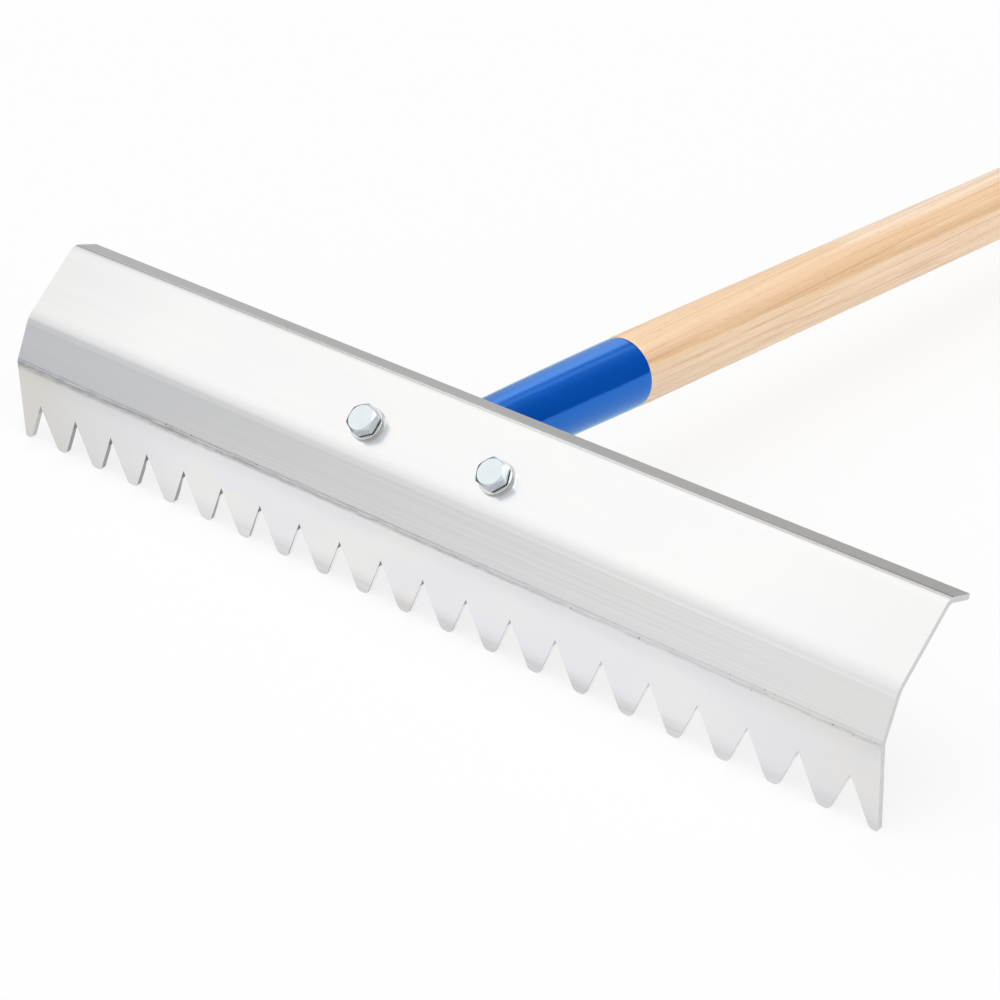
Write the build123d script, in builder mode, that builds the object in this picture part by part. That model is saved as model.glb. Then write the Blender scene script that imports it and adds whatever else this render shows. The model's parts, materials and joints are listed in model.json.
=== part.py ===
from build123d import *
from math import asin, atan2, cos, hypot, pi, radians, sin, tan
import os

os.makedirs("parts", exist_ok=True)

# Blade: one aluminium sheet with three folds. Each height or width runs along the outer face,
# from corner to corner, and each fold turns the sheet further back, towards the handle.
head_width = 500.0
sheet = 2.5
strip_height = 40.0
lower_facet = 22.0
upper_facet = 40.7
lip_width = 14.0
lower_fold = 26.0
middle_fold = 25.0
lip_fold = 58.0
lower_fold_radius = 4.0
middle_fold_radius = 14.0
lip_fold_radius = 6.0
lip_edge_round = 0.8

# Teeth: V-shaped notches punched into the strip. The end margin runs to the middle of the first notch,
# and the trim is cut off the blank along the tooth tips.
notch_count = 20
notch_mouth = 19.3
notch_angle = 50.0
notch_root_round = 1.7
tip_round = 3.2
end_margin = 13.7
end_corner_round = 1.6
trim = 3.0

# Two M8 bolts with flat washers and lock nuts.
bolt_spacing = 75.0
bolt_drop = 25.4
bolt_hole = 9.0
thread = 8.0
bolt_length = 20.0
hex_sides = 6
hex_flats = 13.0
bolt_head = 5.3
washer_face = 0.6
washer_face_diameter = 11.6
head_crown_diameter = 12.2
crown_angle = 30.0
washer_outer = 16.0
washer_inner = 8.4
washer_thick = 1.6
nut_height = 8.0
nut_hex_height = 5.6
collar_radius = 6.0
insert_outer = 10.6
insert_height = 2.0
insert_recess = 0.4
thread_clearance = 0.1
head_turns = {"left": 32.0, "right": -8.0}

# Bracket: flat bar behind the upper facet, with a tube welded to it that widens towards its mouth.
# Stations run along the handle's axis from the blade's front plane.
plate_width = 102.0
plate_height = 32.0
plate_thick = 4.0
plate_rise = 4.0
plate_corner = 6.0
socket_foot = 30.2
socket_diameter = 33.5
flare_start = 60.0
flare_end = 90.0
socket_mouth = 147.7
socket_wall = 2.0
weld_leg = 4.0

# Handle: wooden shaft with a tenon that fills the tube from its mouth to the start of the flare.
handle_diameter = 34.0
handle_droop = 4.4
axis_height = 67.2
tenon_clearance = 0.1
tenon_chamfer = 3.0
shoulder_drop = 0.4
shoulder_length = 2.5
shaft_length = 1400.0
butt_round = 12.0

# Wood screw through the underside of the socket.
screw_station = 127.0
screw_head = 8.5
screw_head_angle = 90.0
screw_shank = 4.4
screw_length = 22.0
screw_tip = 2.5
screw_clearance = 0.1

# Corners of the blade's outer face as (back, up), from the tooth tips
facet_angle = 90.0 - lower_fold - middle_fold
lower_run = radians(90.0 - lower_fold)
upper_run = radians(facet_angle)
lip_run = radians(facet_angle - lip_fold)
blank_edge = (0.0, -trim)
lower_corner = (0.0, strip_height)
middle_corner = (
    lower_corner[0] + lower_facet * cos(lower_run),
    lower_corner[1] + lower_facet * sin(lower_run),
)
top_corner = (
    middle_corner[0] + upper_facet * cos(upper_run),
    middle_corner[1] + upper_facet * sin(upper_run),
)
lip_corner = (
    top_corner[0] + lip_width * cos(lip_run),
    top_corner[1] + lip_width * sin(lip_run),
)

# Rest pose: the tooth tips and the rounded butt of the handle stand on Z = 0
handle_radius = handle_diameter / 2
droop = radians(handle_droop)
butt = socket_mouth + shaft_length


def axis_point(station, above=0.0):
    """A point beside the handle's axis, as (back, up) in the blade's own frame."""
    back = station * cos(droop) + above * sin(droop)
    up = axis_height - station * sin(droop) + above * cos(droop)
    return back, up


butt_low = axis_point(butt - butt_round, -(handle_radius - butt_round))
lean = asin(butt_round / hypot(*butt_low)) - atan2(butt_low[1], butt_low[0])


def leaned(back, up):
    """Turns a (back, up) pair from the blade's own frame into the rest pose."""
    return back * cos(lean) - up * sin(lean), back * sin(lean) + up * cos(lean)


# The origin is under the middle of the whole rake, on the ground.
fold_centre = (lower_fold_radius, strip_height - lower_fold_radius * tan(radians(lower_fold / 2)))
butt_high = axis_point(butt - butt_round, handle_radius - butt_round)
front_limit = leaned(*fold_centre)[0] - lower_fold_radius
back_limit = leaned(*butt_high)[0] + butt_round
middle = (front_limit + back_limit) / 2


def at(back, up, across=0.0):
    """A point of the blade's own frame, placed in the rest pose."""
    y, z = leaned(back, up)
    return Vector(across, y - middle, z)


def towards(back, up):
    """A direction of the blade's own frame, turned into the rest pose."""
    y, z = leaned(back, up)
    return Vector(0, y, z)


def axial(plane):
    """The plane through another plane's normal, for profiles as (radius, height)."""
    return Plane(plane.origin, x_dir=plane.x_dir, z_dir=-plane.y_dir)


# Planes of the assembly
section = Plane(at(0, 0), x_dir=towards(1, 0), z_dir=(1, 0, 0))
strip_front = Plane(at(0, 0), x_dir=(1, 0, 0), z_dir=towards(-1, 0))
outward = towards(-sin(upper_run), cos(upper_run))
bolt_line = (
    top_corner[0] - bolt_drop * cos(upper_run),
    top_corner[1] - bolt_drop * sin(upper_run),
)
facet = Plane(at(*bolt_line), x_dir=(1, 0, 0), z_dir=outward)
facet_back = facet.offset(-sheet)
plate_back = facet_back.offset(-plate_thick)
handle_axis = Plane(at(*axis_point(0)), x_dir=(1, 0, 0), z_dir=towards(cos(droop), -sin(droop)))


# Folded blade with its teeth
tooth_pitch = (head_width - 2 * end_margin) / (notch_count - 1)
notch_apex = notch_mouth / 2 / tan(radians(notch_angle / 2))

with BuildPart() as rake_head:
    with BuildSketch(section):
        with BuildLine():
            FilletPolyline(
                blank_edge,
                lower_corner,
                middle_corner,
                top_corner,
                lip_corner,
                radius=(lower_fold_radius, middle_fold_radius, lip_fold_radius),
            )
            offset(amount=sheet, side=Side.RIGHT)
        make_face()
    extrude(amount=head_width / 2, both=True)

    long_edges = rake_head.edges().filter_by(Axis.X)
    lip_under_edge = long_edges.sort_by(Axis(at(*lip_corner), towards(cos(lip_run), sin(lip_run))))[-2:]
    fillet(lip_under_edge.sort_by(Axis.Z)[0], radius=lip_edge_round)

    with BuildSketch(strip_front) as toothed_edge:
        Rectangle(head_width + 2 * trim, trim, align=(Align.CENTER, Align.MAX))
        with GridLocations(tooth_pitch, 0, notch_count, 1):
            Polygon(
                (-notch_mouth / 2, 0),
                (notch_mouth / 2, 0),
                (0, notch_apex),
                align=None,
            )
        rows = toothed_edge.vertices().group_by(Axis(at(0, 0), towards(0, 1)))
        fillet(rows[-1], radius=notch_root_round)
        corners = toothed_edge.vertices().group_by(Axis(at(0, 0), towards(0, 1)))[1]
        fillet(corners.sort_by(Axis.X)[1:-1], radius=tip_round)
    extrude(amount=-sheet, mode=Mode.SUBTRACT)

    through_edges = rake_head.edges().filter_by(Axis(at(0, 0), towards(1, 0))).sort_by(Axis.X)
    fillet([through_edges[0], through_edges[-1]], radius=end_corner_round)

    with BuildSketch(facet):
        with GridLocations(bolt_spacing, 0, 2, 1):
            Circle(bolt_hole / 2)
    extrude(amount=-sheet, mode=Mode.SUBTRACT)

rake_head.part.label = "rake_head"
export_step(rake_head.part, "parts/rake_head.step")


# Flat bar behind the upper facet
with BuildPart() as mounting_plate:
    with BuildSketch(plate_back):
        with Locations((0, plate_rise)):
            RectangleRounded(plate_width, plate_height, plate_corner)
        with GridLocations(bolt_spacing, 0, 2, 1):
            Circle(bolt_hole / 2, mode=Mode.SUBTRACT)
    extrude(amount=plate_thick)

mounting_plate.part.label = "mounting_plate"
export_step(mounting_plate.part, "parts/mounting_plate.step")


# Swaged socket, mitred to the back of the bar
foot_radius = socket_foot / 2
mouth_radius = socket_diameter / 2

screw_seat = Plane(
    at(*axis_point(screw_station, -mouth_radius)),
    x_dir=(1, 0, 0),
    z_dir=towards(-sin(droop), -cos(droop)),
)

with BuildPart() as handle_socket:
    with BuildSketch(axial(handle_axis)):
        Polygon(
            (foot_radius - socket_wall, 0),
            (foot_radius, 0),
            (foot_radius, flare_start),
            (mouth_radius, flare_end),
            (mouth_radius, socket_mouth),
            (mouth_radius - socket_wall, socket_mouth),
            (mouth_radius - socket_wall, flare_end),
            (foot_radius - socket_wall, flare_start),
            align=None,
        )
    revolve(axis=Axis(handle_axis.origin, handle_axis.z_dir))
    split(bisect_by=plate_back, keep=Keep.BOTTOM)
    with Locations(screw_seat):
        CounterSinkHole(
            radius=screw_shank / 2 + screw_clearance,
            counter_sink_radius=screw_head / 2 + screw_clearance,
            depth=handle_radius,
            counter_sink_angle=screw_head_angle,
        )

handle_socket.part.label = "handle_socket"
export_step(handle_socket.part, "parts/handle_socket.step")


# Fillet welds along both sides of the socket's foot, clipped to the bar
mitre = radians(facet_angle + handle_droop)
plate_gap = (plate_back.origin - handle_axis.origin).dot(outward)
foot_station = plate_gap / handle_axis.z_dir.dot(outward)
foot = handle_axis.origin + handle_axis.z_dir * foot_station
foot_rise = plate_back.to_local_coords(foot).Y
foot_length = foot_radius / sin(mitre)

with BuildPart() as socket_weld:
    with BuildSketch(plate_back):
        with Locations((0, foot_rise)):
            Ellipse(foot_radius + weld_leg, foot_length + weld_leg)
    with BuildSketch(plate_back.offset(-weld_leg)):
        with Locations((0, foot_rise + weld_leg / tan(mitre))):
            Ellipse(foot_radius, foot_length)
    loft(ruled=True)
    with BuildSketch(plate_back):
        with Locations((0, plate_rise)):
            RectangleRounded(plate_width, plate_height, plate_corner)
    extrude(amount=-weld_leg, mode=Mode.INTERSECT)
    with BuildSketch(handle_axis):
        Circle(foot_radius)
    extrude(amount=flare_start, mode=Mode.SUBTRACT)

socket_weld.part.label = "socket_weld"
export_step(socket_weld.part, "parts/socket_weld.step")


# Wooden shaft, turned down to a tenon inside the socket
tenon_gap = socket_wall + tenon_clearance

with BuildPart() as handle_shaft:
    with BuildSketch(axial(handle_axis)):
        with BuildLine():
            Polyline(
                (0, butt),
                (0, flare_start),
                (foot_radius - tenon_gap - tenon_chamfer, flare_start),
                (foot_radius - tenon_gap, flare_start + tenon_chamfer),
                (mouth_radius - tenon_gap, flare_end),
                (mouth_radius - tenon_gap, socket_mouth),
                (handle_radius - shoulder_drop, socket_mouth),
                (handle_radius, socket_mouth + shoulder_length),
                (handle_radius, butt - butt_round),
            )
            RadiusArc(
                (handle_radius, butt - butt_round),
                (handle_radius - butt_round, butt),
                -butt_round,
            )
            Line((handle_radius - butt_round, butt), (0, butt))
        make_face()
    revolve(axis=Axis(handle_axis.origin, handle_axis.z_dir))
    with Locations(screw_seat):
        Hole(radius=screw_shank / 2, depth=screw_length + socket_wall)

handle_shaft.part.label = "handle_shaft"
export_step(handle_shaft.part, "parts/handle_shaft.step")


# Countersunk wood screw
screw_cone = (screw_head - screw_shank) / 2 / tan(radians(screw_head_angle / 2))

with BuildPart() as handle_screw:
    with BuildSketch(axial(screw_seat)):
        with BuildLine():
            Polyline(
                (0, 0),
                (screw_head / 2, 0),
                (screw_shank / 2, -screw_cone),
                (screw_shank / 2, screw_tip - screw_length),
                (0, -screw_length),
                close=True,
            )
        make_face()
    revolve(axis=Axis(screw_seat.origin, screw_seat.z_dir))

handle_screw.part.label = "handle_screw"
export_step(handle_screw.part, "parts/handle_screw.step")


# Bolts, washers and lock nuts, one set on each side
hex_corner = hex_flats / 2 / cos(pi / hex_sides)
crown_radius = head_crown_diameter / 2
crown_drop = (hex_corner - crown_radius) * tan(radians(crown_angle))

for side, across in (("left", -bolt_spacing / 2), ("right", bolt_spacing / 2)):
    front_seat = Plane(facet.from_local_coords(Vector(across, 0, 0)), x_dir=(1, 0, 0), z_dir=outward)
    head_seat = front_seat.offset(washer_thick)
    rear_seat = Plane(
        facet.from_local_coords(Vector(across, 0, -sheet - plate_thick)),
        x_dir=(1, 0, 0),
        z_dir=-outward,
    )
    nut_seat = rear_seat.offset(washer_thick)
    bolt_axis = Axis(head_seat.origin, head_seat.z_dir)
    nut_axis = Axis(nut_seat.origin, nut_seat.z_dir)

    for place, seat in (("front", front_seat), ("rear", rear_seat)):
        with BuildPart() as washer:
            with BuildSketch(seat):
                Circle(washer_outer / 2)
                Circle(washer_inner / 2, mode=Mode.SUBTRACT)
            extrude(amount=washer_thick)
        washer.part.label = f"{side}_{place}_washer"
        export_step(washer.part, f"parts/{washer.part.label}.step")

    with BuildPart() as bolt:
        with BuildSketch(head_seat.offset(washer_face)):
            RegularPolygon(hex_flats / 2, hex_sides, major_radius=False, rotation=head_turns[side])
        extrude(amount=bolt_head - washer_face)
        with BuildSketch(axial(head_seat)):
            Polygon(
                (0, 0),
                (hex_corner, 0),
                (hex_corner, bolt_head - crown_drop),
                (crown_radius, bolt_head),
                (0, bolt_head),
                align=None,
            )
        revolve(axis=bolt_axis, mode=Mode.INTERSECT)
        with BuildSketch(head_seat):
            Circle(washer_face_diameter / 2)
        extrude(amount=washer_face)
        with BuildSketch(head_seat):
            Circle(thread / 2)
        extrude(amount=-bolt_length)
    bolt.part.label = f"{side}_bolt"
    export_step(bolt.part, f"parts/{bolt.part.label}.step")

    insert_base = nut_height - insert_height - insert_recess
    with BuildPart() as lock_nut:
        with BuildSketch(nut_seat):
            RegularPolygon(hex_flats / 2, hex_sides, major_radius=False)
        extrude(amount=nut_height)
        with BuildSketch(axial(nut_seat)):
            Polygon(
                (0, 0),
                (hex_corner, 0),
                (hex_corner, nut_hex_height - crown_drop),
                (collar_radius, nut_hex_height),
                (collar_radius, nut_height),
                (0, nut_height),
                align=None,
            )
        revolve(axis=nut_axis, mode=Mode.INTERSECT)
        with BuildSketch(axial(nut_seat)):
            Polygon(
                (0, 0),
                (thread / 2 + thread_clearance, 0),
                (thread / 2 + thread_clearance, insert_base),
                (insert_outer / 2, insert_base),
                (insert_outer / 2, nut_height),
                (0, nut_height),
                align=None,
            )
        revolve(axis=nut_axis, mode=Mode.SUBTRACT)
    lock_nut.part.label = f"{side}_lock_nut"
    export_step(lock_nut.part, f"parts/{lock_nut.part.label}.step")

    with BuildPart() as nut_insert:
        with BuildSketch(nut_seat.offset(insert_base)):
            Circle(insert_outer / 2)
            Circle(thread / 2 + thread_clearance, mode=Mode.SUBTRACT)
        extrude(amount=insert_height)
    nut_insert.part.label = f"{side}_nut_insert"
    export_step(nut_insert.part, f"parts/{nut_insert.part.label}.step")
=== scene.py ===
import json
from math import asin, atan2, cos, pi, radians, sin, tan
from types import SimpleNamespace
import bmesh
import bpy
from mathutils import Matrix, Vector


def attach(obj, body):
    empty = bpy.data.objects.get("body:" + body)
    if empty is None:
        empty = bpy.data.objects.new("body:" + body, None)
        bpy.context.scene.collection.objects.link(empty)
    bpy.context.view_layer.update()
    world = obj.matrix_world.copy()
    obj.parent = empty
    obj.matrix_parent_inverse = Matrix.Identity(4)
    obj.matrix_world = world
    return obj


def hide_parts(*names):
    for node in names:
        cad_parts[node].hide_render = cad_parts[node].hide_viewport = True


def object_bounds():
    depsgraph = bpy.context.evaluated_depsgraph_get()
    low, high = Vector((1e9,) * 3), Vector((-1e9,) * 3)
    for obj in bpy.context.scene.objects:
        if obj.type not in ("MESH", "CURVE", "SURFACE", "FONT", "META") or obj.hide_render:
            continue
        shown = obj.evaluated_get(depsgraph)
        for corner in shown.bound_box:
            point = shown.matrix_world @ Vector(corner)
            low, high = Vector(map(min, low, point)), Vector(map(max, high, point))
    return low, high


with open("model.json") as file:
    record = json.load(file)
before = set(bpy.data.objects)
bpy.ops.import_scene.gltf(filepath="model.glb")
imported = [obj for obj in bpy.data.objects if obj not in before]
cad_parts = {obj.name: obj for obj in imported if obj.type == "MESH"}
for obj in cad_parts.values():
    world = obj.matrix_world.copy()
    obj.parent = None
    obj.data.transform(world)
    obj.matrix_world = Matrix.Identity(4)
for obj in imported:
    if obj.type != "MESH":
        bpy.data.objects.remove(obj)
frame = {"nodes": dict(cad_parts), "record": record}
cad_low, cad_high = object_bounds()
nodes = frame["nodes"]

# Lengths are in metres and angles in radians, unless a comment says otherwise. Values for Shader.span say
# where a change starts and ends, and then what holds at the two, if that isn't 0 and 1. The four values for
# Shader.between say where a mark starts, is full, begins to fade and ends. Limits of the noise patterns,
# which run from 0 to 1, stand where they are used.

# Camera of the photograph, with its angles in degrees and its lens in millimetres
camera_place = (0.7878, -1.5787, 0.6526)
camera_azimuth = 42.19
camera_elevation = 27.96
camera_lens = 109.1

# Studio room: bright above and in front, dim low down and behind, darkest in a corner behind the tool on its
# right. Limits are cosines of the angle to a direction, and heights are on a sphere of radius 1.
zenith_level = 1.14
low_level = 0.03
front_level = 0.98
front_towards = (0.55, -0.83, 0.0)
front_limits = (-0.36, 0.62)
rise_start = 0.16
rise_end = 0.46
slow_rise_end = 0.80
rise_limits = (-0.5, 0.2)
back_towards = (0.50, 0.85, 0.10)
back_limits = (0.42, 0.60)
back_level = 0.33
corner_towards = (0.62, 0.72, 0.30)
corner_limits = (0.70, 0.97)
corner_level = 0.10

# Floor. Its glow is the share of plain white in it, for the camera and in reflections.
floor_side = 60.0
floor_white = (0.88, 0.88, 0.88)
floor_glow = 0.8

# Lamps: direction from the blade's front, size, power in watts, and whether metal mirrors them
blade_front = Vector((0, cad_low.y, 0))
lamp_distance = 8.0
lamps = {
    "key_lamp": ((0.05, -0.15, 1.0), (4.7, 4.7), 120.0, True),
    "band_lamp": ((-0.586, 0.723, 0.365), (5.8, 1.33), 21.0, True),
    "line_lamp": ((-0.128, 0.717, 0.685), (1.33, 1.33), 3.3, True),
    "fill_lamp": ((0.95, -0.05, 0.35), (5.3, 3.3), 100.0, False),
}

# Blade: its lean, the slope of the upper facet, and directions out of that facet and back from the strip
lean = radians(2.529)
facet_slope = radians(39) + lean
outward = Vector((0, -sin(facet_slope), cos(facet_slope)))
backward = Vector((0, cos(lean), sin(lean)))

# Blade: facets told apart by the vertical part of their normal, the lip by that part times the backward one,
# and cut faces by the sideways part. The upper facet fades where the lip's share grows.
strip_levels = (0.24, 0.14)
lower_levels = (0.24, 0.34, 0.52, 0.62)
upper_levels = (0.62, 0.70)
lip_tilts = (0.0, 0.28)
lip_shares = (0.3, 0.0)
# The lip's bend, which gets painted shade at the right, is told by the same two parts of the normal
bend_tilts = (-0.30, -0.10, 0.05, 0.25)
bend_levels = (0.80, 0.92)
cut_sides = (0.15, 0.25)
end_sides = (0.93, 0.985)
root_downs = (-0.44, -0.56)
plain_brushing = 0.02

# Blade, heights above the ground: the painted soft shade under the lower fold, the worn band there, which
# wanders a little, the dark line on the fold, with distances from it, the painted shade on the upper fold,
# the darker tips, and the notch roots with their painted shade. The band's starts and the shade's starts in
# the roots are those at the left and at the right.
fold_shade = (0.029, 0.040)
fold_starts = (0.0352, 0.0374)
fold_dark = (0.0397, 0.0401)
fold_upper = 0.0405
fold_end = (0.0413, 0.0418)
fold_wander = 0.0002
fold_line = 0.0411
fold_line_limits = (0.0005, 0.0001)
upper_fold = (0.0573, 0.0592, 0.0592, 0.0645)
tip_heights = (0.0115, 0.0020)
root_heights = (0.0242, 0.0220)
root_shade_starts = (0.0150, 0.0164)
root_shade_fade = 0.0012

# Blade, marks and painted shade that change along it, counted from its middle
tip_left = (-0.20, 0.0, 0.25, 1.0)
tip_right = (0.12, 0.20, 1.0, 0.55)
band_reach = (-0.24, 0.0)
fold_reach = (0.20, -0.10, 0.45, 1.0)
left_strip_shade = (-0.11, -0.24)
right_strip_shade = (0.14, 0.25, 0.0, 0.4)
strip_shade_ends = (0.20, 0.24)
blue_reflection_reach = (-0.08, -0.25)
left_shade = (-0.15, -0.25, 0.0, 0.7)
right_shade = (0.15, 0.25, 0.0, 0.7)
lip_reach = (-0.10, 0.10)
bend_reach = (0.0, 0.22, 0.0, 0.75)
flank_reach = (-0.20, 0.10)
flank_end = (-0.225, -0.235)
root_shade_reach = (-0.22, 0.05)
root_shade_right = (0.15, -0.05, 0.3, 1.0)
root_shade_left = (-0.235, -0.19, 0.4, 1.0)

# Blade, painted shade on the front part of the notch flanks: its depth along the blade, its growth down the
# teeth, and its soft edge
flank_depth = (-0.24, -0.04, 0.0027, 0.0004)
flank_depth_growth = (0.016, 0.005, 0.9, 1.5)
flank_edge = (-0.0002, 0.0003)

# Blade, strengths of its marks and of its painted shade, and parts of its roughness and of its relief
shade_strength = 0.15
fold_strengths = (0.92, 0.40)
line_strength = 0.6
speck_strength = 0.8
lip_specks = 0.5
lip_shade_strength = 0.8
plain_rough = (0.22, 0.25)
brushed_rough = 0.03
worn_rough = 0.12
lip_rough = 0.30
brushed_relief = 0.5
sawn_relief = 2.0

# Handle. Distances across it are counted from its middle, crosswise to the dark streak of heartwood, and
# those along it from its mount. The grain is rolled about the handle's axis.
grip = frame["record"]["mounts"][0]
handle_axis = Vector(grip["axis"])
handle_middle = Vector(grip["pos_m"])
across = Vector((1, 0, 0))
under = handle_axis.cross(across)
run_out = radians(1.2)
tone_roll = 0.4
year_roll = 0.9
heart_across = Vector((0.602, -0.026, -0.798))
heart_drift = (-0.0005, 0.0035)
heart_reach = (-0.0075, 0.0, 0.0, 0.0005)
sap_reach = (-0.004, 0.013)
pale_reach = (-0.008, -0.0125)
pale_stations = (-0.55, -0.51, 0.0, 0.9)
heart_strength = 0.5
contour_level = 0.5
contour_limits = (0.045, 0.005)
streak_relief = 0.6

# Socket, with the rounding of its rim: in from its radius, and back from its mouth
socket_foot = 0.0151
socket_rim = 0.01675
socket_wall = 0.002
socket_bulge = 1.6
flare_length = 0.0927
flare_steps = 36
rim_start = 0.0012
rim_round = ((0.00004, 0.0005), (0.00018, 0.0001), (0.00045, 0.0))

# Weld beads between the socket's foot and the plate
weld_leg = 0.004
weld_swell = 0.0005
weld_taper = 6
weld_touch = 0.0003
weld_steps = 120
weld_columns = 5
weld_ripple = 0.0002
ripple_pitch = 0.0019
ripple_lag = 0.45

# Bolts. The thread's land and ramp are shares of half its pitch, and its chamfer is a slope. The side of a
# head whose bevel gets painted shade faces left and down the facet. Flanks and bevels are told by the outward
# part of the normal.
thread_pitch = 0.00125
thread_crest = 0.004
thread_depth = 0.00068
thread_shown = 0.006
thread_steps = 8
thread_land = 0.2
thread_ramp = 0.65
thread_chamfer = 0.7
bolt_length = 0.020
bearing_radius = 0.0055
bearing_round = 0.0001
head_gap = 0.0007
head_flat = 0.0060
hex_half = 0.0065
corner_wear = 0.00016
crown_slope = radians(30)
head_turns = {"left": radians(32), "right": radians(-8)}
bevel_shade_side = Vector((-0.85, 0, 0)) + 0.5 * Vector((0, -cos(facet_slope), -sin(facet_slope)))
bevel_shade_limits = (0.15, 0.40, 0.35, 1.0)
flank_tilts = (0.75, 0.25)
bevel_tilts = (0.70, 0.84, 0.90, 0.97)

# Steel is duller from just above the front washers' tops. The washers' colours, a lighter top and a rim with
# painted shade, end below these tops, at depths that are counted in thicknesses of a washer.
worn_heights = (0.0002, 0.0001)
washer_depths = (1.25, 1.1)

# Washers, with their rounded edges: in from the rim or out from the bore, and down from the top
washer_bore = 0.0042
washer_radius = 0.0080
washer_burr = 0.0002
washer_rim_round = ((0.0, 0.0004), (0.00006, 0.00018), (0.0002, 0.00005), (0.00045, 0.0))
washer_bore_round = ((0.00025, 0.0), (0.00005, 0.0001), (0.0, 0.0003))

# Lock nuts, with the lip that is rolled over their inserts: in from the collar, and down from the top
nut_bore = 0.0041
nut_flat = 0.0061
collar_radius = 0.0060
collar_lip = (
    (0.0, 0.0008),
    (0.0001, 0.0004),
    (0.0004, 0.0001),
    (0.0007, 0.0),
    (0.0010, 0.0001),
    (0.0011, 0.0003),
)
insert_radius = 0.0053
insert_drop = 0.00038
insert_depth = 0.0024

# Wood screw, its hole in the socket and its cross slot
screw_point = 0.0025
screw_shank = 0.0022
screw_cone = 0.00205
screw_head = 0.00425
screw_flat = 0.0041
screw_play = 0.0001
hole_over = 0.001
hole_depth = 0.006
slot_half_long = 0.0024
slot_half_wide = 0.0005
slot_depth = 0.0016
slot_over = 0.0005
slot_spread = (0.45, 1.1)
slot_taper = 0.3
slot_turn = radians(20)

# Fineness of the new pieces, and depth of the relief in the finishes
edge = 0.00012
ring_steps = 72
sharp_angle = radians(24)
brush_depth = 0.00003
peel_depth = 0.00002
grain_depth = 0.00005
zinc_depth = 0.000004

# Colours, in linear light
metal = SimpleNamespace(
    clean=(0.835, 0.835, 0.84),
    warm=(0.85, 0.845, 0.83),
    lilac=(0.82, 0.813, 0.855),
    brushed=(0.785, 0.788, 0.795),
    streaked=(0.78, 0.785, 0.795),
    # painted shade on the lip, at the left and at the right
    lip_shade_left=(0.60, 0.60, 0.605),
    lip_shade_right=(0.70, 0.695, 0.685),
    # painted shade on the lip's bend
    painted_bend_shade=(0.42, 0.42, 0.42),
    # painted bluish reflection on the lower facet's left end
    blue=(0.81, 0.82, 0.855),
    shaded=(0.775, 0.775, 0.765),
    # painted shade on the strip towards both ends, and warmer at the very ends
    haze=(0.69, 0.69, 0.69),
    strip_shade_end=(0.68, 0.66, 0.63),
    tip=(0.60, 0.59, 0.58),
    # painted shade on the upper fold
    upper_fold=(0.71, 0.71, 0.715),
    # the worn band and line at the lower fold, and the painted soft shade under it
    lower_fold=(0.34, 0.34, 0.345),
    speck=(0.16, 0.16, 0.15),
    # painted shade on the notch flanks' front part: at the left, at the right and at the left end
    flank_left=(0.36, 0.36, 0.36),
    flank_right=(0.50, 0.50, 0.50),
    flank_end=(0.55, 0.56, 0.56),
    # painted light on the notch flanks behind the shaded part
    painted_bright_flank=(0.95, 0.95, 0.95),
    # painted shade in the notch roots
    root_shade=(0.18, 0.18, 0.18),
    sawn_dark=(0.58, 0.58, 0.58),
    sawn_light=(0.74, 0.74, 0.74),
)
wood = SimpleNamespace(
    light=(0.948, 0.690, 0.470),
    light_sap=(0.962, 0.748, 0.555),
    deep=(0.890, 0.615, 0.382),
    deep_sap=(0.905, 0.665, 0.450),
    pale=(0.985, 0.80, 0.63),
    year=(0.82, 0.55, 0.32),
    streak=(0.78, 0.51, 0.29),
    line=(0.69, 0.40, 0.20),
    heart=(0.68, 0.39, 0.19),
    fibre=(0.76, 0.52, 0.31),
    pore=(0.50, 0.30, 0.16),
)
zinc = SimpleNamespace(
    dark=(0.66, 0.73, 0.76),
    light=(0.75, 0.80, 0.82),
    # darker sides of heads and nuts, partly a duller finish and partly painted shade
    flank=(0.53, 0.57, 0.61),
    # painted shade on the heads' bevels on one side
    bevel_shade=(0.20, 0.21, 0.22),
    worn_dark=(0.56, 0.55, 0.53),
    worn_light=(0.64, 0.63, 0.61),
    washer_top=(0.71, 0.705, 0.69),
    # painted shade on the washers' rims
    washer_rim=(0.36, 0.36, 0.36),
)
paint = SimpleNamespace(deep=(0.003, 0.100, 0.565), light=(0.004, 0.115, 0.62), shine=(0.16, 1.0, 0.97))
nylon = SimpleNamespace(dark=(0.62, 0.68, 0.76), light=(0.74, 0.78, 0.84))
white = (1.0, 1.0, 1.0)


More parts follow.
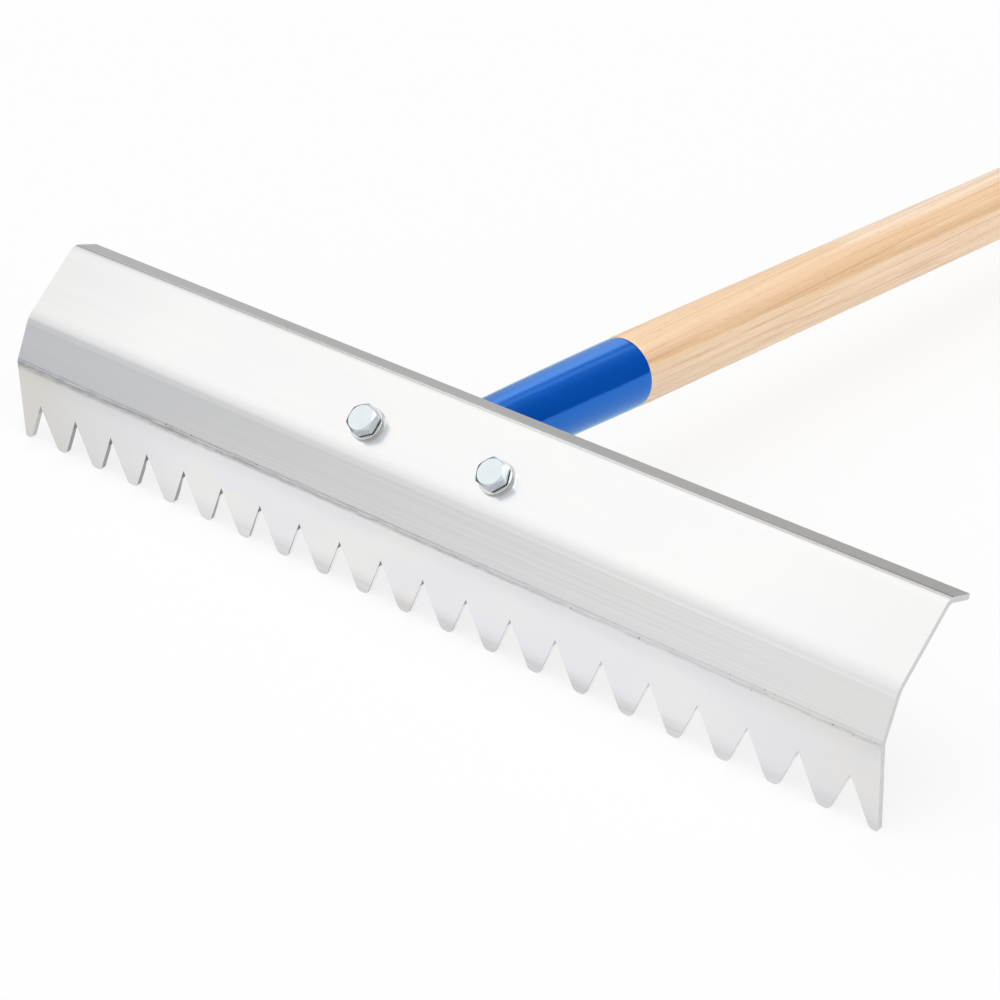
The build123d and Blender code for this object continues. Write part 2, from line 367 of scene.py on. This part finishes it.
class Shader:
    """A node tree under construction. Values that are sockets are linked, others are set."""

    def __init__(self, owner):
        owner.use_nodes = True
        self.owner = owner
        self.tree = owner.node_tree

    def feed(self, socket, value):
        if isinstance(value, bpy.types.NodeSocket):
            self.tree.links.new(value, socket)
        elif socket.type == "RGBA":
            socket.default_value = (*value, 1.0)
        else:
            socket.default_value = value

    def add(self, kind, inputs=None, **settings):
        made = self.tree.nodes.new("ShaderNode" + kind)
        for key, value in settings.items():
            setattr(made, key, value)
        for key, value in (inputs or {}).items():
            self.feed(made.inputs[key], value)
        return made

    def surface(self, **inputs):
        principled = self.tree.nodes["Principled BSDF"]
        for key, value in inputs.items():
            self.feed(principled.inputs[key.replace("_", " ")], value)

    def point(self):
        return self.add("TexCoord").outputs["Object"]

    def facing(self):
        return self.add("TexCoord").outputs["Normal"]

    def part(self, vector, axis):
        return self.add("SeparateXYZ", {0: vector}).outputs[axis]

    def dot(self, vector, direction):
        inputs = {0: vector, 1: direction}
        return self.add("VectorMath", inputs, operation="DOT_PRODUCT").outputs["Value"]

    def chain(self, operation, first, *others):
        for other in others:
            first = self.add("Math", {0: first, 1: other}, operation=operation).outputs[0]
        return first

    def plus(self, *values):
        return self.chain("ADD", *values)

    def minus(self, first, second):
        return self.chain("SUBTRACT", first, second)

    def times(self, *values):
        return self.chain("MULTIPLY", *values)

    def largest(self, *values):
        return self.chain("MAXIMUM", *values)

    def size(self, value):
        return self.add("Math", {0: value}, operation="ABSOLUTE").outputs[0]

    def span(self, value, start, end, low=0.0, high=1.0):
        """Goes smoothly from low to high while the value goes from start to end."""
        inputs = {"Value": value, "From Min": start, "From Max": end, "To Min": low, "To Max": high}
        return self.add("MapRange", inputs, interpolation_type="SMOOTHSTEP").outputs["Result"]

    def between(self, value, start, full, fade, end):
        """Rises from 0 to 1 while the value goes from start to full, and falls again from fade to end."""
        return self.times(self.span(value, start, full), self.span(value, end, fade))

    def grid(self, size, place=(0, 0, 0), turn=(0, 0, 0)):
        """The object's own coordinates, counted in cells of the given size."""
        inputs = {"Vector": self.point(), "Location": place, "Rotation": turn, "Scale": size}
        return self.add("Mapping", inputs, vector_type="TEXTURE").outputs["Vector"]

    def noise(self, cell, place=(0, 0, 0), turn=(0, 0, 0), detail=2.0, roughness=0.5, distortion=0.0):
        inputs = {"Vector": self.grid(cell, place, turn), "Scale": 1.0, "Detail": detail}
        inputs |= {"Roughness": roughness, "Distortion": distortion}
        return self.add("TexNoise", inputs).outputs["Fac"]

    def mix(self, share, first, second):
        inputs = {"Factor": share, 6: first, 7: second}
        return self.add("Mix", inputs, data_type="RGBA").outputs[2]

    def layers(self, colour, *over):
        """A first colour and others laid over it, each with its share."""
        for share, tone in over:
            colour = self.mix(share, colour, tone)
        return colour

    def bump(self, height, depth):
        inputs = {"Height": height, "Distance": depth, "Strength": 1.0}
        return self.add("Bump", inputs).outputs["Normal"]


def material(name):
    return Shader(bpy.data.materials.new(name))


def basis(axis):
    return Matrix((across, axis.cross(across), axis)).transposed()


def seat(name, axis):
    """The frame in the middle of a node's lowest end along an axis, and the node's length along that axis."""
    turn = basis(axis)
    points = [turn.inverted() @ vertex.co for vertex in nodes[name].data.vertices]
    low = Vector(min(p[k] for p in points) for k in range(3))
    high = Vector(max(p[k] for p in points) for k in range(3))
    place = Vector(((low.x + high.x) / 2, (low.y + high.y) / 2, low.z))
    return Matrix.Translation(turn @ place) @ turn.to_4x4(), high.z - low.z


def ring(place, radius, height, turn=0.0):
    """A row of points round an axis. The radius and the height may change with the angle."""
    row = []
    for step in range(ring_steps):
        angle = 2 * pi * step / ring_steps
        r = radius(angle) if callable(radius) else radius
        h = height(angle) if callable(height) else height
        row.append(place @ Vector((r * cos(angle + turn), r * sin(angle + turn), h)))
    return row


def rings(place, profile):
    return [ring(place, radius, height) for radius, height in profile]


def end_row(place, height):
    """A row of one point, on the axis."""
    return [place @ Vector((0, 0, height))]


def shell(rows, closed=False):
    """Faces between rows of points. A row of one point closes an end, and a closed shell joins its ends."""
    points, starts, faces = [], [], []
    for row in rows:
        starts.append(len(points))
        points += row
    last = len(rows) if closed else len(rows) - 1
    for k in range(last):
        after = (k + 1) % len(rows)
        near, far = len(rows[k]), len(rows[after])
        for step in range(max(near, far)):
            near_side = [starts[k] + step % near, starts[k] + (step + 1) % near]
            far_side = [starts[after] + (step + 1) % far, starts[after] + step % far]
            faces.append(list(dict.fromkeys(near_side + far_side)))
    return points, faces


def new_object(name, *shapes):
    mesh = bpy.data.meshes.new(name)
    points, faces = [], []
    for more_points, more_faces in shapes:
        faces += [[len(points) + corner for corner in face] for face in more_faces]
        points += more_points
    mesh.from_pydata(points, [], faces)
    work = bmesh.new()
    work.from_mesh(mesh)
    bmesh.ops.recalc_face_normals(work, faces=work.faces)
    work.to_mesh(mesh)
    work.free()
    made = bpy.data.objects.new(name, mesh)
    bpy.context.scene.collection.objects.link(made)
    return made


def carve(target, cutter):
    """Cuts one object's shape out of another and removes the cutter."""
    cut = target.modifiers.new("cut", "BOOLEAN")
    cut.operation = "DIFFERENCE"
    cut.solver = "EXACT"
    cut.object = cutter
    bpy.context.view_layer.update()
    ready = target.evaluated_get(bpy.context.evaluated_depsgraph_get())
    carved = bpy.data.meshes.new_from_object(ready)
    target.modifiers.clear()
    target.data = carved
    bpy.data.objects.remove(cutter)


def finish_piece(made, slot, *replaced):
    made.data.materials.clear()
    made.data.materials.append(finishes[slot])
    made.data.shade_smooth()
    made.data.set_sharp_from_angle(angle=sharp_angle)
    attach(made, "root")
    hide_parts(*replaced)


def hexagon(angle):
    """The radius of a hexagon with its first corner at angle 0 and slightly worn corners."""
    corner = hex_half / cos(pi / 6)
    return min(hex_half / cos(angle % (pi / 3) - pi / 6), corner - corner_wear)


def crown(top, flat, slope=crown_slope):
    """The height of a hexagon's edge under a cone that meets the flat top at a given radius."""
    return lambda angle: top - (hexagon(angle) - flat) * tan(slope)


def thread_radius(height):
    """The radius of a screw thread with a chamfered end at a height above that end."""
    root = thread_crest - thread_depth

    def radius(angle):
        wave = abs((height / thread_pitch - angle / (2 * pi)) % 1.0 - 0.5) * 2
        groove = min(max((wave - thread_land) / thread_ramp, 0.0), 1.0)
        return min(thread_crest - thread_depth * groove, root + thread_chamfer * height)
    return radius


def make_bolts():
    for side, turn in head_turns.items():
        name = side + "_bolt"
        place, top = seat(name, outward)
        steps = round(thread_shown / thread_pitch * thread_steps)
        heights = [thread_shown * step / steps for step in range(steps + 1)]
        base = bolt_length + head_gap
        rows = [
            end_row(place, 0.0),
            *rings(place, [(thread_radius(height), height) for height in heights]),
            ring(place, thread_crest, thread_shown),
            ring(place, thread_crest, bolt_length),
            ring(place, bearing_radius - bearing_round, bolt_length),
            ring(place, bearing_radius, bolt_length + edge),
            ring(place, bearing_radius, base),
            ring(place, lambda angle: hexagon(angle) - edge, base, turn),
            ring(place, hexagon, base + edge, turn),
            ring(place, hexagon, crown(top, head_flat), turn),
            ring(place, head_flat, top, turn),
            end_row(place, top),
        ]
        finish_piece(new_object(name + "_threaded", shell(rows)), "zinc_steel", name)


def make_washers():
    for side in head_turns:
        for where, axis in (("front", outward), ("rear", -outward)):
            name = f"{side}_{where}_washer"
            place, top = seat(name, axis)
            profile = [
                (washer_bore, 0.0),
                (washer_radius - washer_burr, 0.0),
                (washer_radius, washer_burr),
                *((washer_radius - inwards, top - down) for inwards, down in washer_rim_round),
                *((washer_bore + outwards, top - down) for outwards, down in washer_bore_round),
            ]
            shape = shell(rings(place, profile), closed=True)
            finish_piece(new_object(name + "_rounded", shape), "zinc_steel", name)


def make_nuts():
    for side in head_turns:
        name = side + "_lock_nut"
        place, top = seat(name, -outward)
        shoulder = top - insert_depth
        profile = [
            (nut_bore, 0.0),
            (nut_flat, 0.0),
            (hexagon, crown(0.0, nut_flat, -crown_slope)),
            (hexagon, crown(shoulder, nut_flat)),
            (collar_radius + edge, shoulder + edge),
            (collar_radius, shoulder + 3 * edge),
            *((collar_radius - inwards, top - down) for inwards, down in collar_lip),
            (insert_radius, top - insert_drop),
            (insert_radius, shoulder),
            (nut_bore, shoulder),
        ]
        shape = shell(rings(place, profile), closed=True)
        finish_piece(new_object(name + "_chamfered", shape), "zinc_steel", name)


def around(angle):
    """The direction from the handle's axis at an angle round it."""
    return across * cos(angle) + under * sin(angle)


def foot_station(angle, radius):
    """How far along the handle a line at a radius leaves the back of the mounting plate."""
    gap = (plate_back - axis_start).dot(outward)
    return (gap - radius * around(angle).dot(outward)) / handle_axis.dot(outward)


def make_socket():
    far, length = seat("handle_socket", handle_axis)
    mouth = (far.translation - axis_start).dot(handle_axis) + length
    flare_start = mouth - flare_length
    flare_run = mouth - rim_start - flare_start
    inner_foot = socket_foot - socket_wall

    def outer(station):
        share = max(station - flare_start, 0.0) / flare_length
        return socket_foot + (socket_rim - socket_foot) * (1 - (1 - share) ** socket_bulge)

    stations = [flare_start + flare_run * step / flare_steps for step in range(flare_steps + 1)]
    profile = [
        (socket_foot, lambda angle: foot_station(angle, socket_foot)),
        *((outer(station), station) for station in stations),
        *((socket_rim - inwards, mouth - back) for inwards, back in rim_round),
        (socket_rim - socket_wall, mouth),
        (inner_foot, flare_start),
        (inner_foot, lambda angle: foot_station(angle, inner_foot)),
    ]
    socket = new_object("handle_socket_flared", shell(rings(handle_place, profile), closed=True))
    carve(socket, screw_hole())
    finish_piece(socket, "bracket_paint", "handle_socket")


def screw_hole():
    """The countersunk hole for the wood screw, as a solid to cut away."""
    place, top = seat("handle_screw", under)
    profile = [
        (screw_head + screw_play, top + hole_over),
        (screw_head + screw_play, top),
        (screw_shank + screw_play, top - screw_cone),
        (screw_shank + screw_play, top - hole_depth),
    ]
    rows = [end_row(place, top + hole_over), *rings(place, profile), end_row(place, top - hole_depth)]
    return new_object("hole", shell(rows))


def screw_slot(place, top):
    """One slot of the cross in the screw's head, wider towards the top, as a solid to cut away."""
    low = top - slot_depth
    high = top + slot_over
    rows = [end_row(place, low)]
    for height, spread in zip((low, high), slot_spread):
        x = slot_half_long * spread
        y = slot_half_wide * (1 - slot_taper + slot_taper * spread)
        corners = ((-x, -y), (x, -y), (x, y), (-x, y))
        rows.append([place @ Vector((*corner, height)) for corner in corners])
    rows.append(end_row(place, high))
    return new_object("slot", shell(rows))


def make_screw():
    place, top = seat("handle_screw", under)
    profile = [
        (screw_shank, screw_point),
        (screw_shank, top - screw_cone),
        (screw_head, top - edge),
        (screw_flat, top),
    ]
    rows = [end_row(place, 0.0), *rings(place, profile), end_row(place, top)]
    screw = new_object("handle_screw_cross", shell(rows))
    for turn in (slot_turn, slot_turn + pi / 2):
        carve(screw, screw_slot(place @ Matrix.Rotation(turn, 4, "Z"), top))
    finish_piece(screw, "zinc_steel", "handle_screw")


def weld_row(angle, share, run):
    """A section of a weld bead: out along the plate, over the rippled face and onto the socket."""
    away = around(angle)
    start = axis_start + away * socket_foot + handle_axis * foot_station(angle, socket_foot)
    along_plate = (away - outward * away.dot(outward)).normalized()
    leg = weld_leg * (1 - abs(2 * share - 1) ** weld_taper) ** 0.5
    row = [start, start + along_plate * leg]
    for column in range(1, weld_columns):
        part = column / weld_columns
        arch = 4 * part * (1 - part)
        swell = weld_swell * arch + weld_ripple * arch * cos(2 * pi * (run + ripple_lag * arch))
        straight = along_plate * leg * (1 - part) + handle_axis * leg * part
        row.append(start + straight + (along_plate + handle_axis).normalized() * swell * leg / weld_leg)
    row.append(start + handle_axis * leg)
    return row


def make_weld():
    local = handle_place.inverted()
    points = [local @ vertex.co for vertex in nodes["socket_weld"].data.vertices]
    feet = [p for p in points if p.xy.length < socket_foot + weld_touch]
    shapes = []
    for sign in (1, -1):
        angles = [atan2(p.y, sign * p.x) for p in feet if sign * p.x > 0]
        low, high = min(angles), max(angles)
        rows = []
        for step in range(weld_steps + 1):
            share = step / weld_steps
            angle = low + (high - low) * share
            run = share * (high - low) * socket_foot / ripple_pitch
            rows.append(weld_row(angle if sign > 0 else pi - angle, share, run))
        first, last = ([sum(row, Vector()) / len(row)] for row in (rows[0], rows[-1]))
        shapes.append(shell([first, *rows, last]))
    finish_piece(new_object("socket_weld_rippled", *shapes), "bracket_paint", "socket_weld")


def blade_zones(shader):
    """Where a point lies on the blade, and the facets and cut faces, told apart by the way that they face."""
    point = shader.point()
    facing = shader.facing()
    sideways = shader.size(shader.part(facing, "X"))
    zone = SimpleNamespace(along=shader.part(point, "X"), height=shader.part(point, "Z"))
    zone.depth = shader.minus(shader.dot(point, backward), strip_front)
    zone.level = shader.size(shader.part(facing, "Z"))
    zone.back_tilt = shader.times(shader.part(facing, "Y"), shader.part(facing, "Z"))
    zone.lip = shader.span(zone.back_tilt, *lip_tilts)
    zone.lower = shader.between(zone.level, *lower_levels)
    zone.upper = shader.times(shader.span(zone.level, *upper_levels), shader.span(zone.lip, *lip_shares))
    zone.strip = shader.span(zone.level, *strip_levels)
    zone.brushed = shader.span(shader.largest(zone.lower, zone.lip), 0.0, 1.0, plain_brushing, 1.0)
    root = shader.span(shader.part(facing, "Z"), *root_downs)
    root = shader.times(root, shader.span(zone.height, *root_heights))
    zone.cut = shader.largest(shader.span(sideways, *cut_sides), root)
    zone.end_face = shader.span(sideways, *end_sides)
    return zone


def blade_marks(shader):
    """Patterns of marks, each with the size of its cells along, across and up the blade."""
    return SimpleNamespace(
        fine=shader.noise((0.25, 0.0007, 0.0007), detail=3.0, roughness=0.6),
        broad=shader.noise((0.40, 0.004, 0.004)),
        clouds=shader.noise((0.07, 0.025, 0.025), detail=3.0),
        wear=shader.noise((0.03, 0.002, 0.002), detail=3.0),
        scuffs=shader.noise((0.007, 0.0012, 0.0012)),
        specks=shader.noise((0.0018, 0.0011, 0.0011), detail=1.0),
        saw=shader.noise((0.0006, 0.02, 0.0006)),
        wander=shader.noise((0.010, 1, 1)),
    )


def fold_wear(shader, zone, marks):
    """The band rubbed under the lower fold, and how dark that band and the line on the fold are."""
    wander = shader.span(marks.wander, 0.25, 0.75, -fold_wander, fold_wander)
    rubbed = shader.plus(zone.height, wander)
    start = shader.span(zone.along, *band_reach, *fold_starts)
    band = shader.between(rubbed, start, fold_dark[0], *fold_end)
    worn = shader.times(band, shader.span(rubbed, fold_dark[1], fold_upper, *fold_strengths))
    off = shader.size(shader.minus(zone.height, fold_line))
    worn = shader.times(
        shader.largest(shader.span(off, *fold_line_limits, 0.0, line_strength), worn),
        shader.span(marks.wear, 0.25, 0.7, 0.7, 1.0),
        shader.span(marks.scuffs, 0.30, 0.60, 0.80, 1.15),
        shader.span(zone.along, *fold_reach),
    )
    return band, worn


def sheet_colour_with_lip_shade(shader, zone, marks):
    """The sheet's colour: clouds, brushing along the lower facet and the lip, and painted shade on the lip.
    """
    # Painted shade on the lip, darker at the left than at the right
    lip = shader.mix(shader.span(zone.along, *lip_reach), metal.lip_shade_left, metal.lip_shade_right)
    return shader.layers(
        shader.mix(shader.span(marks.clouds, 0.40, 0.62), metal.clean, metal.warm),
        (shader.times(shader.span(marks.clouds, 0.60, 0.35), zone.strip), metal.lilac),
        (shader.times(shader.span(marks.fine, 0.40, 0.64), zone.brushed), metal.brushed),
        (shader.times(shader.span(marks.broad, 0.45, 0.62, 0.0, 0.7), zone.brushed), metal.streaked),
        (shader.times(zone.lip, lip_shade_strength), lip),
    )


def painted_shade_at_ends(shader, zone, colour):
    """Painted shade towards the ends and a painted bluish reflection at the left, over a colour."""
    # Painted shade on the strip towards both ends, weaker at the right and warmer at the very ends
    strip_shade_share = shader.largest(shader.span(zone.along, *left_strip_shade), shader.span(zone.along, *right_strip_shade))
    haze = shader.mix(shader.span(shader.size(zone.along), *strip_shade_ends), metal.haze, metal.strip_shade_end)
    facets = shader.largest(zone.lower, zone.upper)
    shade = shader.largest(
        shader.times(shader.span(zone.along, *right_shade), facets),
        shader.times(shader.span(zone.along, *left_shade), zone.upper),
    )
    return shader.layers(
        colour,
        # Painted bluish reflection on the lower facet towards its left end
        (shader.times(shader.span(zone.along, *blue_reflection_reach), zone.lower), metal.blue),
        (shade, metal.shaded),
        (shader.times(strip_shade_share, zone.strip), haze),
    )


def wear_and_painted_shade(shader, zone, marks, band, fold, colour):
    """Darker tips, wear and specks, and painted shade on the folds and the lip's bend, over a colour."""
    # Darker towards the tips, in patches, most in the middle of the blade
    tip = shader.times(
        shader.span(zone.height, *tip_heights),
        shader.span(marks.wear, 0.2, 0.6, 0.5, 0.9),
        shader.span(zone.along, *tip_left),
        shader.span(zone.along, *tip_right),
        shader.span(marks.fine, 0.35, 0.60, 0.7, 1.0),
    )
    # Painted shade on the lip's bend, growing towards the right end
    painted_bend_shade = shader.times(
        shader.between(zone.back_tilt, *bend_tilts),
        shader.span(zone.level, *bend_levels),
        shader.span(zone.along, *bend_reach),
    )
    # Painted soft shade under the lower fold
    shade = shader.times(shader.between(zone.height, *fold_shade, *fold_end), shade_strength)
    speck = shader.times(
        shader.span(marks.specks, 0.73, 0.77, 0.0, speck_strength),
        shader.largest(band, shader.times(zone.lip, lip_specks)),
    )
    return shader.layers(
        colour,
        (tip, metal.tip),
        # Painted shade on the upper fold
        (shader.between(zone.height, *upper_fold), metal.upper_fold),
        (painted_bend_shade, metal.painted_bend_shade),
        (shader.largest(fold, shade), metal.lower_fold),
        (speck, metal.speck),
    )


def cut_metal(shader, zone, marks):
    """Cut faces: flanks with painted shade in front and painted light behind, roots with painted shade, sawn
    ends.
    """
    # Painted shade on the flanks' front part, darkest at the left
    dark = shader.layers(
        metal.flank_left,
        (shader.span(zone.along, *flank_reach), metal.flank_right),
        (shader.span(zone.along, *flank_end), metal.flank_end),
    )
    dark_depth = shader.times(
        shader.span(zone.along, *flank_depth),
        shader.span(zone.height, *flank_depth_growth),
    )
    root_shade_start = shader.span(zone.along, *root_shade_reach, *root_shade_starts)
    # Painted shade in the notch roots, weaker at the right and at the very left end
    root_shade = shader.times(
        shader.span(shader.minus(zone.height, root_shade_start), 0.0, root_shade_fade),
        shader.span(zone.along, *root_shade_right),
        shader.span(zone.along, *root_shade_left),
    )
    return shader.layers(
        dark,
        # Painted light on the flanks behind the shaded part
        (shader.span(shader.minus(zone.depth, dark_depth), *flank_edge), metal.painted_bright_flank),
        (root_shade, metal.root_shade),
        (zone.end_face, shader.mix(marks.saw, metal.sawn_dark, metal.sawn_light)),
    )


def blade_aluminium():
    shader = material("blade_aluminium")
    zone = blade_zones(shader)
    marks = blade_marks(shader)
    band, fold = fold_wear(shader, zone, marks)
    colour = painted_shade_at_ends(shader, zone, sheet_colour_with_lip_shade(shader, zone, marks))
    colour = wear_and_painted_shade(shader, zone, marks, band, fold, colour)
    colour = shader.mix(zone.cut, colour, cut_metal(shader, zone, marks))
    rough = shader.plus(
        shader.span(marks.broad, 0.3, 0.7, *plain_rough),
        shader.times(shader.span(marks.fine, 0.3, 0.7, 0.0, brushed_rough), zone.brushed),
        shader.times(shader.largest(fold, zone.cut), worn_rough),
        shader.times(zone.lip, lip_rough),
    )
    brushing = shader.times(zone.brushed, brushed_relief, marks.fine)
    sawing = shader.times(marks.saw, zone.cut, sawn_relief)
    normal = shader.bump(shader.plus(brushing, sawing), brush_depth)
    shader.surface(Base_Color=colour, Metallic=1.0, Roughness=rough, Normal=normal)
    return shader.owner


def bracket_paint():
    shader = material("bracket_paint")
    peel = shader.noise((0.0022, 0.0022, 0.0022), detail=1.0)
    clouds = shader.noise((0.02, 0.05, 0.02), detail=3.0)
    shader.surface(
        Base_Color=shader.mix(clouds, paint.deep, paint.light),
        Metallic=0.30,
        Roughness=shader.span(clouds, 0.3, 0.7, 0.12, 0.19),
        Specular_IOR_Level=0.8,
        Specular_Tint=paint.shine,
        Coat_Weight=0.12,
        Coat_Roughness=0.04,
        Normal=shader.bump(peel, peel_depth),
    )
    return shader.owner


def year_rings(shader, turn):
    """Bands across the handle, one to a cell, that darken slowly and end sharply."""
    inputs = {"Vector": shader.grid((0.0042, 0.50, 0.0042), handle_middle, turn), "Scale": pi / 10}
    inputs |= {"Distortion": 2.2, "Detail": 2.0, "Detail Scale": 0.6}
    settings = {"wave_type": "BANDS", "bands_direction": "X", "wave_profile": "SAW"}
    return shader.add("TexWave", inputs, **settings).outputs["Fac"]


def handle_wood():
    shader = material("handle_wood")
    slope = asin(handle_axis.z)

    def grain(cell, roll=0.0, **settings):
        """A pattern with the size of its cells across, along and through the handle."""
        return shader.noise(cell, handle_middle, (slope, roll, run_out), **settings)

    tone = grain((0.007, 0.9, 0.005), tone_roll, detail=3.0, distortion=0.4)
    years = year_rings(shader, (slope, year_roll, run_out))
    streaks = grain((0.0011, 0.16, 0.0011), detail=3.0, distortion=0.3)
    fibres = grain((0.0004, 0.03, 0.0004))
    pores = grain((0.0004, 0.006, 0.0004), detail=1.0)
    contours = grain((0.0045, 0.9, 0.0045), detail=1.0)
    drift = shader.span(grain((0.02, 0.35, 0.02)), 0.2, 0.8, *heart_drift)

    from_middle = shader.grid((1, 1, 1), handle_middle)
    station = shader.dot(from_middle, handle_axis)
    from_heart = shader.dot(from_middle, heart_across)
    sap = shader.span(from_heart, *sap_reach)
    light = shader.mix(sap, wood.light, wood.light_sap)
    deep = shader.mix(sap, wood.deep, wood.deep_sap)
    pale = shader.times(shader.span(station, *pale_stations), shader.span(from_heart, *pale_reach))
    line = shader.span(shader.size(shader.minus(contours, contour_level)), *contour_limits)
    heart = shader.between(shader.minus(from_heart, drift), *heart_reach)
    colour = shader.layers(
        shader.mix(shader.span(tone, 0.40, 0.62), light, deep),
        (pale, wood.pale),
        (shader.span(years, 0.35, 1.0, 0.0, 0.35), wood.year),
        (shader.span(streaks, 0.52, 0.70, 0.0, 0.40), wood.streak),
        (shader.times(line, shader.span(streaks, 0.35, 0.60, 0.15, 0.60)), wood.line),
        (shader.times(heart, shader.span(fibres, 0.35, 0.60, 0.55, 1.0), heart_strength), wood.heart),
        (shader.span(fibres, 0.35, 0.8, 0.0, 0.25), wood.fibre),
        (shader.span(pores, 0.66, 0.74, 0.0, 0.4), wood.pore),
    )
    relief = shader.plus(fibres, shader.times(streaks, streak_relief))
    shader.surface(
        Base_Color=colour,
        Roughness=shader.span(fibres, 0.3, 0.7, 0.42, 0.55),
        Specular_IOR_Level=0.6,
        Normal=shader.bump(relief, grain_depth),
    )
    return shader.owner


def zinc_steel():
    """Bright bolt heads with painted shade on one side of their bevels and on washer rims, sides darker
    partly by finish and partly by painted shade, and duller steel from the front washers' tops backwards.
    """
    shader = material("zinc_steel")
    grain = shader.noise((0.0006, 0.0006, 0.0006))
    tint = shader.noise((0.004, 0.004, 0.004))
    facing = shader.facing()
    tilt = shader.dot(facing, outward)
    # Side faces: darker, partly a duller finish and partly painted shade
    flank = shader.span(shader.size(tilt), *flank_tilts)
    # Painted shade on the bevels that face left and down the facet
    bevel_shade_share = shader.times(
        shader.between(tilt, *bevel_tilts),
        shader.span(shader.dot(facing, bevel_shade_side), *bevel_shade_limits),
    )
    above = shader.minus(shader.dot(shader.point(), outward), washer_top)
    washer_share = shader.span(above, *(-depth * washer_thick for depth in washer_depths))
    worn = shader.mix(tint, zinc.worn_dark, zinc.worn_light)
    # The washers' rims get painted shade, their tops do not
    washer = shader.mix(flank, zinc.washer_top, zinc.washer_rim)
    colour = shader.layers(
        shader.mix(tint, zinc.dark, zinc.light),
        (flank, zinc.flank),
        (bevel_shade_share, zinc.bevel_shade),
        (shader.span(above, *worn_heights), shader.mix(washer_share, worn, washer)),
    )
    rough = shader.span(grain, 0.3, 0.7, 0.20, 0.28)
    shader.surface(Base_Color=colour, Metallic=1.0, Roughness=rough, Normal=shader.bump(grain, zinc_depth))
    return shader.owner


def insert_nylon():
    shader = material("insert_nylon")
    haze = shader.noise((0.002, 0.002, 0.002))
    colour = shader.mix(haze, nylon.dark, nylon.light)
    shader.surface(Base_Color=colour, Roughness=shader.span(haze, 0.3, 0.7, 0.4, 0.5))
    return shader.owner


def dress_nodes():
    for node in nodes.values():
        for slot in node.material_slots:
            slot.material = finishes[slot.material.name.split(".")[0]]


def make_world():
    world = bpy.data.worlds.new("studio_room")
    bpy.context.scene.world = world
    shader = Shader(world)
    towards = shader.add("TexCoord").outputs["Generated"]
    front = shader.dot(towards, front_towards)
    low_part = shader.span(front, *front_limits, low_level, front_level)
    full_height = shader.span(front, *rise_limits, slow_rise_end, rise_end)
    corner = shader.dot(towards, Vector(corner_towards).normalized())
    back = shader.dot(towards, Vector(back_towards).normalized())
    level = shader.times(
        shader.span(shader.part(towards, "Z"), rise_start, full_height, low_part, zenith_level),
        shader.span(corner, *corner_limits, 1.0, corner_level),
        shader.span(back, *back_limits, 1.0, back_level),
    )
    shader.feed(shader.tree.nodes["Background"].inputs["Color"], level)


def make_floor():
    """A pale floor that keeps the shadow and shows nearly white to the camera and in reflections."""
    bpy.ops.mesh.primitive_plane_add(size=floor_side)
    floor = bpy.context.object
    floor.name = "studio_floor"
    shader = material("studio_floor")
    shader.tree.nodes.remove(shader.tree.nodes["Principled BSDF"])
    path = shader.add("LightPath").outputs
    seen = shader.largest(path["Is Camera Ray"], path["Is Glossy Ray"], path["Is Transmission Ray"])
    paper = shader.add("BsdfDiffuse", {"Color": floor_white})
    glow = shader.add("Emission", {"Color": white, "Strength": 1.0})
    share = shader.times(seen, floor_glow)
    both = shader.add("MixShader", {0: share, 1: paper.outputs[0], 2: glow.outputs[0]})
    shader.feed(shader.tree.nodes["Material Output"].inputs["Surface"], both.outputs[0])
    floor.data.materials.append(shader.owner)


def make_lamp(name, towards, size, power, mirrored):
    """A rectangular lamp that faces the blade, with its long side in a plane across the handle."""
    light = bpy.data.lights.new(name, "AREA")
    light.shape = "RECTANGLE"
    light.size, light.size_y = size
    light.energy = power
    lamp = bpy.data.objects.new(name, light)
    out = Vector(towards).normalized()
    along = Vector((0, 1, 0)).cross(out).normalized()
    turn = Matrix((along, out.cross(along), out)).transposed()
    lamp.matrix_world = Matrix.Translation(blade_front + out * lamp_distance) @ turn.to_4x4()
    lamp.visible_camera = False
    lamp.visible_glossy = mirrored
    bpy.context.scene.collection.objects.link(lamp)


def make_camera():
    lens = bpy.data.cameras.new("photo_camera")
    lens.lens = camera_lens
    camera = bpy.data.objects.new("photo_camera", lens)
    camera.location = camera_place
    camera.rotation_euler = (radians(90 - camera_elevation), 0, radians(camera_azimuth))
    bpy.context.scene.collection.objects.link(camera)
    bpy.context.scene.camera = camera


# Places taken from the frame: the back of the plate, the front of the strip, the point of the handle's axis
# nearest to the blade's front, and the front washers
plate_back = seat("mounting_plate", outward)[0].translation
strip_front = min(vertex.co.dot(backward) for vertex in nodes["rake_head"].data.vertices)
axis_start = handle_middle + handle_axis * handle_axis.dot(blade_front - handle_middle)
handle_place = Matrix.Translation(axis_start) @ basis(handle_axis).to_4x4()
washer_seat, washer_thick = seat("left_front_washer", outward)
washer_top = washer_seat.translation.dot(outward) + washer_thick

makers = (blade_aluminium, bracket_paint, handle_wood, zinc_steel, insert_nylon)
finishes = {make.__name__: make() for make in makers}
dress_nodes()
make_socket()
make_weld()
make_bolts()
make_washers()
make_nuts()
make_screw()
make_world()
make_floor()
for lamp_name, lamp_values in lamps.items():
    make_lamp(lamp_name, *lamp_values)
make_camera()
bpy.context.scene.view_settings.view_transform = "Standard"
